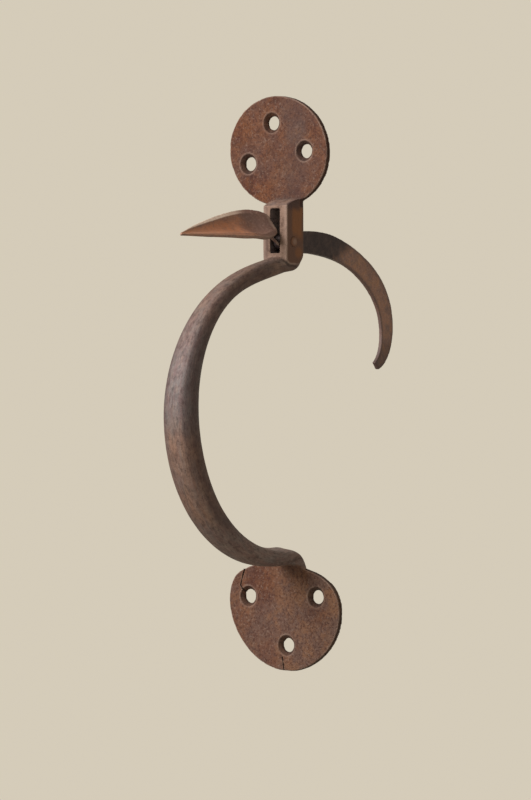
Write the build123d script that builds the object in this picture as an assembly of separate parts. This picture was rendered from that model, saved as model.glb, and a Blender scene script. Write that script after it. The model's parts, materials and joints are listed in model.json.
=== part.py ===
from build123d import *
import math
import os

# A hand-forged iron thumb latch for a door: a handle, its lift lever and the pivot pin.
# Y = 0 is the face of the door, -Y points at the person who opens it and +Z is up.
# X = 0 is the middle plane of the grip, and Z = 0 is the level of the lever's pivot.
# All lengths are in millimetres and all angles in degrees.

# Upper plate: a round disc, set a little to the left of the grip
plate_thickness = 2.5
plate_edge_round = 0.5
disc_width = 49.8
disc_height = 44.0
disc_shift = -5.3
disc_level = 36.8
disc_turn = -16.0

# Lower plate: a broad rounded shield, its edge drawn through these points as (x, level)
shield_outline = [
    (0.0, -127.4),
    (9.1, -130.4),
    (17.8, -133.9),
    (23.8, -140.0),
    (25.5, -147.6),
    (23.0, -157.2),
    (14.6, -166.4),
    (0.6, -171.3),
    (-12.6, -168.6),
    (-22.6, -161.2),
    (-28.9, -150.5),
    (-30.1, -141.8),
    (-27.0, -133.6),
    (-17.5, -129.1),
]

# Screw holes as (x, level), each countersunk from the front
hole_radius = 2.7
countersink_radius = 4.2
countersink_angle = 90.0
hole_cutter_reach = 1.0
left_holes_x = -20.3
disc_hole_top = (-8.5, 48.2)
disc_hole_right = (8.0, 36.3)
disc_hole_left = (left_holes_x, 32.2)
shield_hole_left = (left_holes_x, -141.9)
shield_hole_right = (13.8, -141.2)
shield_hole_bottom = (-1.0, -160.9)

# Cracks through the lower plate, as the middle line from its edge inwards
crack_width = 0.45
crack_to_hole = [(-20.4, -126.0), (-23.2, -133.4), (-24.4, -137.6), (-22.1, -141.0)]
crack_at_chin = [(-2.3, -172.5), (-2.7, -168.6), (-3.2, -165.8)]

# Neck: the slotted block between the upper plate and the grip
neck_width = 12.3
neck_depth = 11.1
neck_top = 14.4
neck_shoulder_rise = 3.1
neck_shoulder_middle = (6.1, 16.6)
neck_foot = -8.8
neck_corner_radius = 2.6
neck_back_radius = 4.4
neck_edge_round = 0.5
heel_inset = 0.2
heel_top = -4.2
heel_radius = 7.5
heel_sweep = 82.0
heel_edge_round = 1.2
slot_width = 4.7
slot_top = 13.1
slot_floor = -4.4

# Grip: a swelled bow, round in its front and flatter behind
grip_reach = 69.5
grip_bow_start = 12.0
grip_bow_level = -67.4
grip_bow_rise = 55.2
grip_bow_fall = 58.0
grip_root_angle = 15.5
grip_root_depth = 7.0
grip_root_width = 11.4
grip_waist_depth = 7.1
grip_waist_width = 10.2
grip_belly_depth = 11.9
grip_belly_width = 14.0
grip_belly_angle = -15.0
grip_swell_spread = 1.3
grip_swell_sharpness = 1.4
grip_foot_depth = 7.6
grip_foot_width = 12.4
grip_last_angle = -70.0
grip_bow_sections = 9

# Middle line of the grip's foot, where it turns down and spreads into the lower plate, as
# (distance from the door, level above the lowest point of the bow, width, depth)
foot_line = [
    (9.0, 0.2, 12.8, 7.2),
    (4.9, 0.6, 13.8, 5.2),
    (2.6, -0.4, 14.2, 3.6),
    (1.4, -3.5, 16.4, 2.4),
    (1.25, -10.0, 18.0, 2.0),
]

# Lift lever: thumb leaf, stem, bar and curled tail, forged in one
pivot_depth = 6.6
pin_radius = 1.5
lever_side_clearance = 0.35
lever_bore_clearance = 0.05
eye_radius = 3.1
stem_thickness = 1.1
stem_roll = 42.0
stem_climb = 26.6
stem_level = 0.6
stem_foot = 8.0
stem_head = 18.2
tail_thickness = 1.6
tail_taper_start = 1.0
tail_taper_length = 34.0

# Middle line of the bar and tail behind the pivot as (distance behind the door's face,
# level, depth of the bar there)
tail_line = [
    (0.0, 0.1, 8.6),
    (12.0, 0.5, 9.1),
    (22.0, -0.3, 9.5),
    (33.0, -2.8, 9.3),
    (44.5, -7.6, 9.1),
    (56.0, -15.9, 9.3),
    (62.2, -25.0, 8.9),
    (63.9, -33.8, 8.0),
    (63.3, -39.5, 7.0),
    (61.1, -44.7, 5.7),
    (56.4, -48.9, 3.9),
]

# Thumb leaf, measured along its own middle line from its root to its tip
leaf_root_gap = 0.7
leaf_level = 7.2
leaf_droop = 5.3
leaf_thickness = 2.0
leaf_tip_thickness = 1.1
leaf_edge = 1.5
leaf_tip_edge = 0.9
leaf_dish = 2.1
leaf_dish_start = 9.0
leaf_rim = 2.2
leaf_rim_share = 0.16

# Outline of the leaf as (distance from its root, width on its far side, width on its near
# side): the near edge is the lower one
leaf_outline = [
    (0.0, 3.4, 2.6),
    (1.6, 5.7, 4.8),
    (4.5, 7.6, 5.9),
    (8.5, 9.2, 7.0),
    (14.0, 10.1, 7.4),
    (21.0, 9.9, 6.8),
    (29.5, 8.3, 5.6),
    (38.9, 5.9, 4.3),
    (48.4, 3.2, 2.9),
    (55.5, 0.7, 1.8),
    (59.0, -0.3, 1.3),
]
leaf_full_width = 17.5

# The leaf's roll about its middle line, which grows towards its root
leaf_roll = 33.0
leaf_root_roll = 56.0
leaf_twist_length = 24.0
leaf_twist_sharpness = 1.7

# Pivot pin: a rivet with both ends hammered to low domes
pin_fit = 0.01
pin_head_radius = 2.1
pin_head_height = 0.5


def side_plane(x):
    """Plane at this x, whose own x runs to the back of the door and whose own y runs up."""
    return Plane(origin=(x, 0, 0), x_dir=(0, 1, 0), z_dir=(1, 0, 0))


def front_plane(y):
    """Plane at this y that faces the front, with its own x to the right and its own y up."""
    return Plane(origin=(0, y, 0), x_dir=(1, 0, 0), z_dir=(0, -1, 0))


def upper_plate():
    with BuildPart() as part:
        with BuildSketch(front_plane(0)):
            with Locations((disc_shift, disc_level)):
                Ellipse(disc_width / 2, disc_height / 2, rotation=disc_turn)
        extrude(amount=plate_thickness)
        front = part.faces().sort_by(Axis.Y)[0]
        fillet(front.edges(), plate_edge_round)
    return part.part


def lower_plate():
    with BuildPart() as part:
        with BuildSketch(front_plane(0)):
            with BuildLine():
                Spline(*shield_outline, periodic=True)
            make_face()
        extrude(amount=plate_thickness)
        front = part.faces().sort_by(Axis.Y)[0]
        fillet(front.edges(), plate_edge_round)
    return part.part


def neck():
    """Block whose back is flush with the plates, with a sloped shoulder."""
    into_plate = -plate_thickness / 2
    shoulder_top = neck_top + neck_shoulder_rise
    with BuildPart() as part:
        with BuildSketch(side_plane(-neck_width / 2)):
            with BuildLine():
                back = Line((0, shoulder_top), (0, neck_foot + neck_back_radius))
                turn = CenterArc(
                    (-neck_back_radius, neck_foot + neck_back_radius), neck_back_radius, 0, -90
                )
                foot = Line(turn @ 1, (neck_corner_radius - neck_depth, neck_foot))
                corner = CenterArc(
                    (neck_corner_radius - neck_depth, neck_foot + neck_corner_radius),
                    neck_corner_radius,
                    -90,
                    -90,
                )
                front = Line(corner @ 1, (-neck_depth, neck_top))
                shoulder = ThreePointArc(
                    front @ 1,
                    (-neck_shoulder_middle[0], neck_shoulder_middle[1]),
                    (into_plate, shoulder_top),
                )
                Line(shoulder @ 1, back @ 0)
            make_face()
        extrude(amount=neck_width)
        upright = part.faces().sort_by(Axis.Y)[0].edges().filter_by(Axis.Z)
        fillet(upright, neck_edge_round)
    return part.part


def heel():
    """Rounded heel below the block, where the bar of the grip turns up to the door."""
    heel_width = neck_width - 2 * heel_inset
    with BuildPart() as part:
        with BuildSketch(side_plane(-heel_width / 2)):
            with BuildLine():
                back = Line((0, 0), (0, heel_top))
                turn = CenterArc((-heel_radius, heel_top), heel_radius, 0, -heel_sweep)
                onward = turn % 1
                under = Line(turn @ 1, turn @ 1 + onward * ((turn @ 1).X + neck_depth) / -onward.X)
                Polyline(under @ 1, (-neck_depth, 0), back @ 0)
            make_face()
        extrude(amount=heel_width)
        sides = part.edges().filter_by(lambda edge: abs(edge.center().X) > 0.4 * heel_width)
        rims = sides.filter_by_position(Axis.Z, heel_top - 2 * heel_radius, heel_top - 0.5)
        fillet(rims.filter_by_position(Axis.Y, 0.1 - neck_depth, 0), heel_edge_round)
    return part.part


def bow_point(angle):
    """Point of the grip's middle line at this angle round its bow, 0 where it is furthest out."""
    turn = math.radians(angle)
    rise = grip_bow_rise if angle > 0 else grip_bow_fall
    out = grip_bow_start + (grip_reach - grip_bow_start) * math.cos(turn)
    return -out, grip_bow_level + rise * math.sin(turn)


def swell(angle):
    """How far the grip has swollen at this angle: 0 at its ends and 1 at its belly."""
    turn = math.radians(grip_swell_spread * (angle - grip_belly_angle))
    return max(0.0, math.cos(turn)) ** grip_swell_sharpness


def grip_stations():
    """Middle line of the grip as (y, level, width, depth) from the neck to the lower plate."""
    slope = math.tan(math.radians(grip_root_angle))
    # the root is straight and meets the bow where the bow has the same slope
    meet = math.degrees(math.atan(grip_bow_rise / (slope * (grip_reach - grip_bow_start))))
    meet_y, meet_level = bow_point(meet)
    root_y = -0.6 * neck_depth
    stations = [
        (root_y, meet_level + slope * (root_y - meet_y), grip_root_width, grip_root_depth),
        (-neck_depth, meet_level + slope * (-neck_depth - meet_y), grip_root_width, grip_root_depth),
    ]
    for step in range(grip_bow_sections):
        along = step / (grip_bow_sections - 1)
        angle = meet - 2 - along * (meet - grip_last_angle)
        y, level = bow_point(angle)
        base_width = grip_waist_width + (grip_foot_width - grip_waist_width) * along**2
        base_depth = grip_waist_depth + (grip_foot_depth - grip_waist_depth) * along**2
        width = base_width + (grip_belly_width - base_width) * swell(angle)
        depth = base_depth + (grip_belly_depth - base_depth) * swell(angle)
        stations.append((y, level, width, depth))
    bow_bottom = grip_bow_level - grip_bow_fall
    stations += [(-out, bow_bottom + rise, width, depth) for out, rise, width, depth in foot_line]
    return stations


def grip_section(plane, width, depth):
    """Oval across the bar: crowned in front, on its own +y side, and flatter behind."""
    half, deep = width / 2, depth / 2
    outline = [
        (0, deep),
        (0.74 * half, 0.74 * deep),
        (half, 0.02 * deep),
        (0.78 * half, -0.76 * deep),
        (0, -deep),
        (-0.78 * half, -0.76 * deep),
        (-half, 0.02 * deep),
        (-0.74 * half, 0.74 * deep),
    ]
    with BuildSketch(plane) as sketch:
        with BuildLine():
            Spline(*outline, periodic=True)
        make_face()
    return sketch.sketch


def direction_at(before, here, after):
    """Unit direction at the middle one of three points, along the circle through them."""
    back, ahead = here - before, after - here
    return (back / back.length**2 + ahead / ahead.length**2).normalized()


def grip():
    """The bow, and the foot that turns down and spreads into the lower plate."""
    stations = grip_stations()
    points = [Vector(0, y, level) for y, level, _, _ in stations]
    start = 2 * points[0] - points[1]
    end = 2 * points[-1] - points[-2]
    around = [start, *points, end]
    sections = []
    for index, (_, _, width, depth) in enumerate(stations):
        along = direction_at(*around[index : index + 3])
        plane = Plane(origin=points[index], x_dir=(-1, 0, 0), z_dir=along)
        sections.append(grip_section(plane, width, depth))
    bow_end = len(sections) - len(foot_line)
    return loft(sections[: bow_end + 1]) + loft(sections[bow_end:])


def screw_hole(x, level):
    """Straight hole with a cone at the front, as one solid to cut away."""
    cone_depth = (countersink_radius - hole_radius) / math.tan(math.radians(countersink_angle / 2))
    wall = plate_thickness - cone_depth
    with BuildPart() as tool:
        with BuildSketch(side_plane(0)):
            with BuildLine():
                Polyline(
                    (hole_cutter_reach, 0),
                    (hole_cutter_reach, hole_radius),
                    (-wall, hole_radius),
                    (-plate_thickness, countersink_radius),
                    (-plate_thickness - hole_cutter_reach, countersink_radius),
                    (-plate_thickness - hole_cutter_reach, 0),
                    close=True,
                )
            make_face()
        revolve(axis=Axis.Y)
    return Pos(x, 0, level) * tool.part


def crack(line_points):
    with BuildPart() as tool:
        with BuildSketch(front_plane(plate_thickness)):
            with BuildLine() as line:
                Spline(*line_points)
            trace(line_width=crack_width)
        extrude(amount=3 * plate_thickness)
    return tool.part


def cross_pin(radius, half_length):
    """Cylinder along X on the lever's pivot."""
    return Pos(0, -pivot_depth, 0) * Rot(0, 90, 0) * Cylinder(radius, 2 * half_length)


def handle():
    slot_height = slot_top - slot_floor
    slot_middle = (slot_top + slot_floor) / 2
    body = upper_plate() + lower_plate() + neck() + heel() + grip()
    body -= Pos(0, -neck_depth / 2, slot_middle) * Box(slot_width, 2 * neck_depth, slot_height)
    body -= cross_pin(pin_radius + pin_fit, neck_width)
    for x, level in (
        disc_hole_top,
        disc_hole_right,
        disc_hole_left,
        shield_hole_left,
        shield_hole_right,
        shield_hole_bottom,
    ):
        body -= screw_hole(x, level)
    body -= crack(crack_to_hole)
    body -= crack(crack_at_chin)
    # the forging is ground flat where it lies on the door
    behind = grip_belly_depth
    body -= Pos(0, behind / 2, grip_bow_level) * Box(2 * disc_width, behind, 4 * grip_bow_rise)
    return body


def lever_bar():
    """Eye, bar and curled tail: one flat profile, thinned towards the tail."""
    thickness = slot_width - 2 * lever_side_clearance
    upper, lower = [], []
    count = len(tail_line)
    for index, (y, level, depth) in enumerate(tail_line):
        before = tail_line[max(index - 1, 0)]
        after = tail_line[min(index + 1, count - 1)]
        run, rise = after[0] - before[0], after[1] - before[1]
        length = math.hypot(run, rise)
        upper.append((y - rise / length * depth / 2, level + run / length * depth / 2))
        lower.append((y + rise / length * depth / 2, level - run / length * depth / 2))
    with BuildPart() as part:
        with BuildSketch(side_plane(-thickness / 2)):
            with BuildLine():
                top = Spline(*upper)
                bottom = Spline(*lower)
                Line(top @ 1, bottom @ 1)
                Polyline(
                    top @ 0, (-pivot_depth, eye_radius), (-pivot_depth, -eye_radius), bottom @ 0
                )
            make_face()
            with Locations((-pivot_depth, 0)):
                Circle(eye_radius)
        extrude(amount=thickness)
        # seen from above, the bar keeps its full thickness in the slot and then thins
        past_tail = 2 * tail_line[-1][0]
        past_eye = 3 * pivot_depth
        with BuildSketch(Plane.XY.offset(-past_tail)):
            with BuildLine():
                Polyline(
                    (-thickness / 2, -past_eye),
                    (thickness / 2, -past_eye),
                    (thickness / 2, tail_taper_start),
                    (tail_thickness / 2, tail_taper_start + tail_taper_length),
                    (tail_thickness / 2, past_tail),
                    (-tail_thickness / 2, past_tail),
                    (-tail_thickness / 2, tail_taper_start + tail_taper_length),
                    (-thickness / 2, tail_taper_start),
                    close=True,
                )
            make_face()
        extrude(amount=2 * past_tail, mode=Mode.INTERSECT)
    return part.part


def leaf_section(plane, distance, far, near):
    """Dished cross-section of the leaf: flat rims, a hollow above and a belly below."""
    share = (far + near) / leaf_full_width
    rim = min(leaf_rim, leaf_rim_share * (far + near))
    # the hollow fades out towards the root, which is flat
    dish = leaf_dish * share * min(1.0, (distance + 1) / leaf_dish_start)
    thickness = leaf_tip_thickness + (leaf_thickness - leaf_tip_thickness) * share
    edge = leaf_tip_edge + (leaf_edge - leaf_tip_edge) * share
    middle = (near - far) / 2
    left, right = -far, near
    with BuildSketch(plane) as sketch:
        with BuildLine():
            Line((left, 0), (left + rim, 0))
            ThreePointArc((left + rim, 0), (middle, -dish), (right - rim, 0))
            Line((right - rim, 0), (right, 0))
            Line((right, 0), (right, -edge))
            ThreePointArc((right, -edge), (middle, -dish - thickness), (left, -edge))
            Line((left, -edge), (left, 0))
        make_face()
    return sketch.sketch


def leaf_frame():
    """The leaf's own frame: x across it, z up from its face and -y out to its tip."""
    return Pos(0, -neck_depth - leaf_root_gap, leaf_level) * Rot(leaf_droop, 0, 0)


def leaf():
    """Pointed, dished thumb leaf, lofted from its root to its tip."""
    sections = []
    for distance, far, near in leaf_outline:
        twist = max(0.0, 1 - distance / leaf_twist_length) ** leaf_twist_sharpness
        turn = math.radians(leaf_roll + (leaf_root_roll - leaf_roll) * twist)
        across = (math.cos(turn), 0, -math.sin(turn))
        plane = Plane(origin=(0, -distance, 0), x_dir=across, z_dir=(0, -1, 0))
        sections.append(leaf_section(plane, distance, far, near))
    return leaf_frame() * loft(sections)


def stem_section(distance):
    """Strip across the stem at this distance from the door, lower on its near side."""
    half = slot_width / 2 - lever_side_clearance
    level = stem_level + (distance - neck_depth) * math.tan(math.radians(stem_climb))
    drop = half * math.tan(math.radians(stem_roll))
    rise = stem_thickness / math.cos(math.radians(stem_roll)) / 2
    with BuildSketch(front_plane(-distance)) as sketch:
        with BuildLine():
            Polyline(
                (-half, level + drop - rise),
                (half, level - drop - rise),
                (half, level - drop + rise),
                (-half, level + drop + rise),
                close=True,
            )
        make_face()
    return sketch.sketch


def stem():
    """Rolled strip that climbs from the eye to the underside of the leaf."""
    return loft([stem_section(stem_foot), stem_section(stem_head)])


def thumb_lever():
    return lever_bar() + stem() + leaf() - cross_pin(pin_radius + lever_bore_clearance, neck_width)


def pivot_pin():
    """Rivet through both cheeks and the lever, with a low dome on each side."""
    with BuildPart() as part:
        Cylinder(pin_radius, neck_width, rotation=(0, 90, 0))
        for side in (-1, 1):
            with Locations((side * (neck_width + pin_head_height) / 2, 0, 0)):
                Cylinder(pin_head_radius, pin_head_height, rotation=(0, 90, 0))
        ends = part.faces().sort_by(Axis.X)
        fillet(ends[0].edges() + ends[-1].edges(), 0.9 * pin_head_height)
    return Pos(0, -pivot_depth, 0) * part.part


os.makedirs("parts", exist_ok=True)
export_step(handle(), "parts/handle.step")
export_step(thumb_lever(), "parts/thumb_lever.step")
export_step(pivot_pin(), "parts/pivot_pin.step")
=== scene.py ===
"""Dresses a hand-forged iron thumb latch: its handle, lift lever and pivot rivet.

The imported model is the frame, in metres. -Y points at the person who opens the door, Z is up,
and the origin lies on the door's face at the level of the lever's pivot.
"""

import json
import logging
import math
from contextlib import contextmanager
from dataclasses import dataclass, field
from enum import Enum
from typing import Any, Iterator, Optional, Union

import bmesh
import bpy
import numpy as np
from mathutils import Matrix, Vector

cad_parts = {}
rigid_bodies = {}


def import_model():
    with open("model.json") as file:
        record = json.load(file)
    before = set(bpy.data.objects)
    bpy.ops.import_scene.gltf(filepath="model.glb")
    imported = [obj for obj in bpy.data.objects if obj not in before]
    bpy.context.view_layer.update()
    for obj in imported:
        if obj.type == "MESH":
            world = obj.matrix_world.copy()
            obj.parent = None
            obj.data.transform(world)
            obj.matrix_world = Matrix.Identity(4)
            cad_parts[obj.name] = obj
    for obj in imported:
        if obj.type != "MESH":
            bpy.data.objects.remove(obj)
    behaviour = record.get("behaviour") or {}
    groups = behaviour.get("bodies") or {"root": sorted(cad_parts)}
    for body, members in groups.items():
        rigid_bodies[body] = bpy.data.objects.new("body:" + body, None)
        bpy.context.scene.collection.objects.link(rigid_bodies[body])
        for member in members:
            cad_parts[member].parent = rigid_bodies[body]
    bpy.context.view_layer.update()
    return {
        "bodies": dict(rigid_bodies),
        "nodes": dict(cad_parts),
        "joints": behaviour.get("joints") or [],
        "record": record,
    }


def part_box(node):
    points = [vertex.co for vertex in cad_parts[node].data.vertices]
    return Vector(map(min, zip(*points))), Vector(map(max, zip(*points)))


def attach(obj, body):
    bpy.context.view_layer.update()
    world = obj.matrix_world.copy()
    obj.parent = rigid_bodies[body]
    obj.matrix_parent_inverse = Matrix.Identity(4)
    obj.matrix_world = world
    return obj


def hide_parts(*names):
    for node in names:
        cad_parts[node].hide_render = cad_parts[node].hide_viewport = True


LOG = logging.getLogger("door_latch")
MM = 0.001
Colour = tuple[float, float, float]
Place = tuple[float, float, float]


class Zone(Enum):
    """Point attributes of a forged skin that its material reads; the lever's tail has the rim mark too.
    The rims, the countersinks, the crease, the joint line and the grime marks carry painted shade, and
    the leaf's lip a painted highlight, several of them along with real dirt or wear.
    """

    WEAR = "wear"
    HOLLOW = "hollow"
    PLATE = "plate"
    FRONT = "neck_front"
    CHEEK = "neck_cheek"
    SINK = "countersink"
    RIM = "plate_rim"
    BRINK = "plate_brink"
    RUST = "rust"
    GRIME = "grime"
    SCALE = "scale"
    LIP = "leaf_lip"
    THUMB = "thumb_rub"
    ROOT = "leaf_root"
    BLACK = "black"
    STROKE = "stroke"


class Piece(Enum):
    """CAD nodes, which are also the record's material slots."""

    HANDLE = "handle"
    LEVER = "thumb_lever"
    PIN = "pivot_pin"


def add_object(name: str, data: bpy.types.ID) -> bpy.types.Object:
    """Puts a new object into the scene, at the origin.

    Args:
        name: Its name.
        data: Its mesh, lamp or camera.

    Returns:
        The new object.
    """
    made = bpy.data.objects.new(name, data)
    bpy.context.scene.collection.objects.link(made)
    return made


@contextmanager
def edited(mesh: bpy.types.Mesh) -> Iterator[bmesh.types.BMesh]:
    """Opens a mesh for editing, and writes the result back into it.

    Args:
        mesh: The mesh.

    Yields:
        The form to edit.
    """
    form = bmesh.new()
    form.from_mesh(mesh)
    yield form
    form.to_mesh(mesh)
    form.free()


@dataclass(frozen=True)
class LatticeNoise:
    """Smooth noise from -1 to 1: random values on a cubic lattice, blended inside each cell.

    The lattice repeats after cells steps. It is moved by offset cells, and each finer layer by
    layer_offset metres more, so that the layers don't line up at the origin.
    """

    seed: int
    cells: int = 32
    offset: float = 7.3
    layer_offset: float = 0.013

    def at(self, points: np.ndarray, size: float) -> np.ndarray:
        """Noise at points: each lattice cell's eight corners, weighed by 3t^2 - 2t^3 along each axis.

        Args:
            points: Positions, one row each, in metres.
            size: Edge of a lattice cell, in metres.

        Returns:
            One value for each point.
        """
        table = np.random.default_rng(self.seed).uniform(-1.0, 1.0, (self.cells,) * 3)
        scaled = points / size + self.offset
        low = np.floor(scaled).astype(int)
        t = scaled - low
        t = t * t * (3 - 2 * t)
        total = np.zeros(len(points))
        for corner in np.ndindex(2, 2, 2):
            index = (low + corner) % self.cells
            weight = np.prod(np.where(np.array(corner) == 1, t, 1 - t), axis=1)
            total += weight * table[index[:, 0], index[:, 1], index[:, 2]]
        return total

    def fractal(self, points: np.ndarray, size: float, octaves: int) -> np.ndarray:
        """Sum of octaves, each half as large and half as strong as the one before.

        Args:
            points: Positions, one row each, in metres.
            size: Edge of the first octave's lattice cells, in metres.
            octaves: Number of layers.

        Returns:
            One value for each point.
        """
        layers = range(octaves)
        total = sum(0.5**k * self.at(points + self.layer_offset * k, size / 2**k) for k in layers)
        return total / sum(0.5**k for k in layers)

    def swell(self, points: np.ndarray, size: float, octaves: int) -> np.ndarray:
        """The same sum, brought to 0 to 1."""
        return 0.5 + 0.5 * self.fractal(points, size, octaves)


def soft_step(values: np.ndarray, low: float, high: float) -> np.ndarray:
    """0 below low, 1 above high and 3t^2 - 2t^3 between them; low may be the larger one."""
    t = np.clip((values - low) / (high - low), 0.0, 1.0)
    return t * t * (3 - 2 * t)


def band(values: np.ndarray, low: float, high: float, edge: float) -> np.ndarray:
    """1 between low and high, with soft edges of the given width outside them."""
    return soft_step(values, low - edge, low) * soft_step(values, high + edge, high)


@dataclass(frozen=True)
class Dents:
    """Shallow round marks of a hammer, scattered over a surface; sizes in millimetres."""

    count: int
    radius: float
    depth: float
    seed: int

    def on(self, points: np.ndarray, share: np.ndarray) -> np.ndarray:
        """How deep each point lies: the deepest of depth (1 - (d / r)^2)^2 over the marks.

        Args:
            points: The surface's vertices, in metres.
            share: How likely a mark is at each vertex, from 0 to 1.

        Returns:
            A depth of 0 or more for each point, in metres.
        """
        rng = np.random.default_rng(self.seed)
        centres = points[rng.choice(len(points), self.count, p=share / share.sum())]
        radii = self.radius * MM * rng.uniform(0.6, 1.3, self.count)
        depths = self.depth * MM * rng.uniform(0.4, 1.0, self.count)
        deepest = np.zeros(len(points))
        for centre, radius, depth in zip(centres, radii, depths):
            near = ((points - centre) ** 2).sum(1) / radius**2
            deepest = np.maximum(deepest, depth * np.clip(1 - near, 0, 1) ** 2)
        return deepest


@dataclass(frozen=True)
class Crack:
    """A ragged split through a plate, along a line of (x, level) points; in millimetres.

    The cells beside it are divided once within each of the refined distances.
    """

    line: tuple[tuple[float, float], ...]
    half_width: float = 0.32
    depth: float = 1.15
    refined: tuple[float, ...] = (1.1, 0.77)

    def distance(self, points: np.ndarray) -> np.ndarray:
        """Least distance in X and Z from each point to the line's straight parts, in metres.

        Args:
            points: Positions, one row each, in metres.

        Returns:
            One distance for each point.
        """
        flat = points[:, [0, 2]]
        corners = np.array(self.line) * MM
        nearest = np.full(len(points), np.inf)
        for start, end in zip(corners[:-1], corners[1:]):
            along = end - start
            share = np.clip((flat - start) @ along / (along @ along), 0, 1)
            gap = np.linalg.norm(flat - start - share[:, None] * along, axis=1)
            nearest = np.minimum(nearest, gap)
        return nearest


@dataclass
class Skin:
    """A surface as arrays: vertices, edges and outward normals."""

    mesh: bpy.types.Mesh
    points: np.ndarray
    edges: np.ndarray
    normals: np.ndarray

    @staticmethod
    def read(mesh: bpy.types.Mesh) -> "Skin":
        """Arrays of a mesh's vertices, edges and vertex normals.

        Args:
            mesh: The mesh.

        Returns:
            Its surface.
        """
        points = np.zeros(3 * len(mesh.vertices))
        edges = np.zeros(2 * len(mesh.edges), int)
        mesh.vertices.foreach_get("co", points)
        mesh.edges.foreach_get("vertices", edges)
        skin = Skin(mesh, points.reshape(-1, 3), edges.reshape(-1, 2), np.zeros(0))
        skin.renew()
        return skin

    def renew(self) -> None:
        """Writes the points to the mesh and reads the new vertex normals."""
        self.mesh.vertices.foreach_set("co", self.points.ravel())
        self.mesh.update()
        normals = np.zeros(3 * len(self.points), np.float32)
        self.mesh.vertex_normals.foreach_get("vector", normals)
        self.normals = normals.reshape(-1, 3).astype(float)

    def neighbours_mean(self, values: np.ndarray) -> np.ndarray:
        """Mean of the values at each vertex's neighbours along the edges.

        Args:
            values: A value or a row for each vertex.

        Returns:
            The means, in the shape of the values.
        """
        count = np.bincount(self.edges.ravel(), minlength=len(self.points))
        columns = values.reshape(len(values), -1)
        total = np.zeros_like(columns)
        for a, b in (self.edges.T, self.edges[:, ::-1].T):
            for k in range(columns.shape[1]):
                total[:, k] += np.bincount(a, columns[b, k], len(self.points))
        return (total / np.maximum(count, 1)[:, None]).reshape(values.shape)

    def smooth(self, rounds: int, share: float = 0.5, back: float = -0.53) -> None:
        """Moves each point towards its neighbours' mean and then almost as far back.

        The second, negative step keeps the walls from getting thinner.

        Args:
            rounds: How many times.
            share: Part of the way there.
            back: Part of the way back, which is negative.
        """
        for step in range(2 * rounds):
            part = share if step % 2 == 0 else back
            self.points += part * (self.neighbours_mean(self.points) - self.points)

    def relax(self, share: np.ndarray, rounds: int) -> None:
        """Moves each point half of its share towards its neighbours' mean, several times."""
        for _ in range(rounds):
            self.points += 0.5 * share[:, None] * (self.neighbours_mean(self.points) - self.points)

    def bulge(self, rounds: int) -> np.ndarray:
        """How much the surface bulges, per metre: positive on edges and negative in corners.

        Args:
            rounds: How many times the result is averaged with its neighbours.

        Returns:
            One value for each vertex.
        """
        offset = self.points - self.neighbours_mean(self.points)
        ends = self.points[self.edges]
        lengths = np.linalg.norm(ends[:, 0] - ends[:, 1], axis=1)
        bulge = (offset * self.normals).sum(1) / np.median(lengths) ** 2
        for _ in range(rounds):
            bulge = 0.5 * (bulge + self.neighbours_mean(bulge))
        return bulge

    def mark(self, zone: Zone, values: np.ndarray) -> None:
        """Stores a value from 0 to 1 for each vertex, or a position, under the zone's name.

        Args:
            zone: Names the attribute.
            values: A value for each vertex, or a row of three for a position.
        """
        if values.ndim == 2:
            attribute = self.mesh.attributes.new(zone.value, "FLOAT_VECTOR", "POINT")
            attribute.data.foreach_set("vector", values.astype(np.float32).ravel())
            return
        attribute = self.mesh.attributes.new(zone.value, "FLOAT", "POINT")
        attribute.data.foreach_set("value", np.clip(values, 0, 1).astype(np.float32))

    def shade_smooth(self) -> None:
        """Turns off the faceted look of the mesh's faces."""
        self.mesh.polygons.foreach_set("use_smooth", np.ones(len(self.mesh.polygons), bool))


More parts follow.
